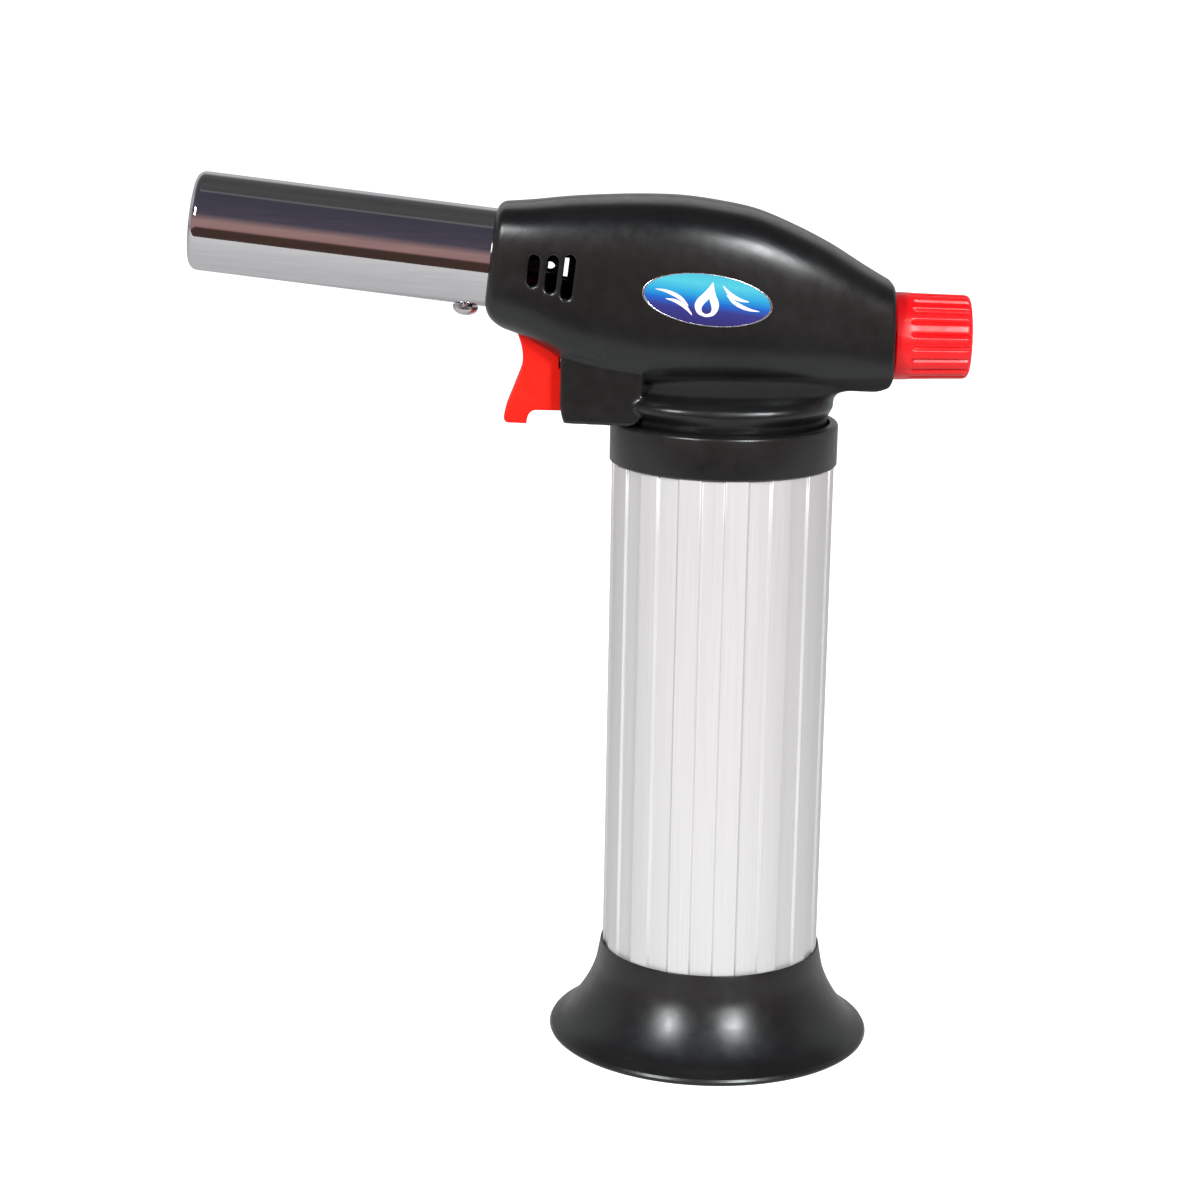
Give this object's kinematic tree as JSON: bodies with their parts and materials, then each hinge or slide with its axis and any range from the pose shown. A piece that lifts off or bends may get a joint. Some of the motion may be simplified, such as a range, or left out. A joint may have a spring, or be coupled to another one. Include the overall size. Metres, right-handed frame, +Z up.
{
  "type": "butane torch",
  "caption": "Refillable butane torch on a flared foot, with fluted tank sleeve, tilted flame tube, sliding igniter trigger and flame knob.",
  "frame": {"origin": "on the standing plane under the foot, in the middle of the overall length (the tank's axis is 31.55 mm towards the knob)", "axes": "+Z up, -X towards the flame tube's mouth, +X towards the flame knob, -Y the side with the label"},
  "size_m": [0.1666, 0.0714, 0.1903],
  "materials": {
    "black_plastic": "satin moulded, fine texture",
    "anodised_aluminium": "satin drawn",
    "chrome": "mirror",
    "steel": "bright zinc",
    "dark_steel": "blackened",
    "brass": "turned",
    "copper": "drawn copper tube",
    "rubber": "matte",
    "nylon": "natural nylon",
    "red_plastic": "gloss moulded",
    "trigger_plastic": "satin moulded",
    "ceramic": "glazed ceramic",
    "igniter_plastic": "moulded",
    "plunger_plastic": "moulded acetal",
    "felt": "felt",
    "cable": "silicone insulation",
    "label_film": "blue gradient with silver rim and a white flame"
  },
  "bodies": {
    "housing": {"foot": "black_plastic", "collar": "black_plastic", "shell_left": "black_plastic", "shell_right": "black_plastic", "tank_sleeve": "anodised_aluminium", "tank_shell": "nylon", "tank_cap": "nylon", "tank_cap_oring": "rubber", "refill_valve_body": "brass", "refill_gasket": "rubber", "refill_spring": "steel", "valve_body": "brass", "valve_locknut": "brass", "valve_gasket": "rubber", "pickup_tube": "nylon", "pickup_filter": "felt", "spindle_oring": "rubber", "gland_nut": "brass", "gas_line": "copper", "piezo_case": "igniter_plastic", "igniter_spring": "steel", "piezo_contact": "brass", "igniter_lead": "cable", "label_plate": "label_film", "shell_screw_1": "steel", "shell_screw_2": "steel", "shell_screw_3": "steel", "shell_screw_4": "steel", "shell_screw_5": "steel", "flame_tube": "chrome", "tube_screw": "steel", "burner_holder": "brass", "mixing_tube": "dark_steel", "jet_holder": "dark_steel", "gas_jet": "brass", "flame_holder": "steel", "flame_nozzle": "brass", "electrode_insulator": "ceramic", "spark_electrode": "steel"},
    "trigger": {"trigger": "trigger_plastic", "piezo_plunger": "plunger_plastic"},
    "knob": {"flame_knob": "red_plastic"},
    "spindle": {"valve_spindle": "steel"},
    "refill_stem": {"refill_stem": "brass", "refill_seal": "rubber"}
  },
  "joints": [
    {"name": "trigger_slide", "type": "slide", "parent": "housing", "child": "trigger", "axis": [1, 0, 0], "range_m": [0, 0.006], "stiffness_N_per_m": 800, "deforming": ["igniter_spring"]},
    {"name": "knob_turn", "type": "hinge", "parent": "housing", "child": "knob", "pos_m": [0.07555, 0, 0.158], "axis": [1, 0, 0], "range_deg": [0, 450]},
    {"name": "spindle_feed", "type": "slide", "parent": "knob", "child": "spindle", "axis": [1, 0, 0], "range_m": [0, 0.0013]},
    {"name": "refill_press", "type": "slide", "parent": "housing", "child": "refill_stem", "axis": [0, 0, 1], "range_m": [0, 0.0015], "stiffness_N_per_m": 600, "deforming": ["refill_spring"]}
  ],
  "couplings": [
    {"joint": "spindle_feed", "follows": "knob_turn", "m_per_rad": 0.00015915}
  ]
}
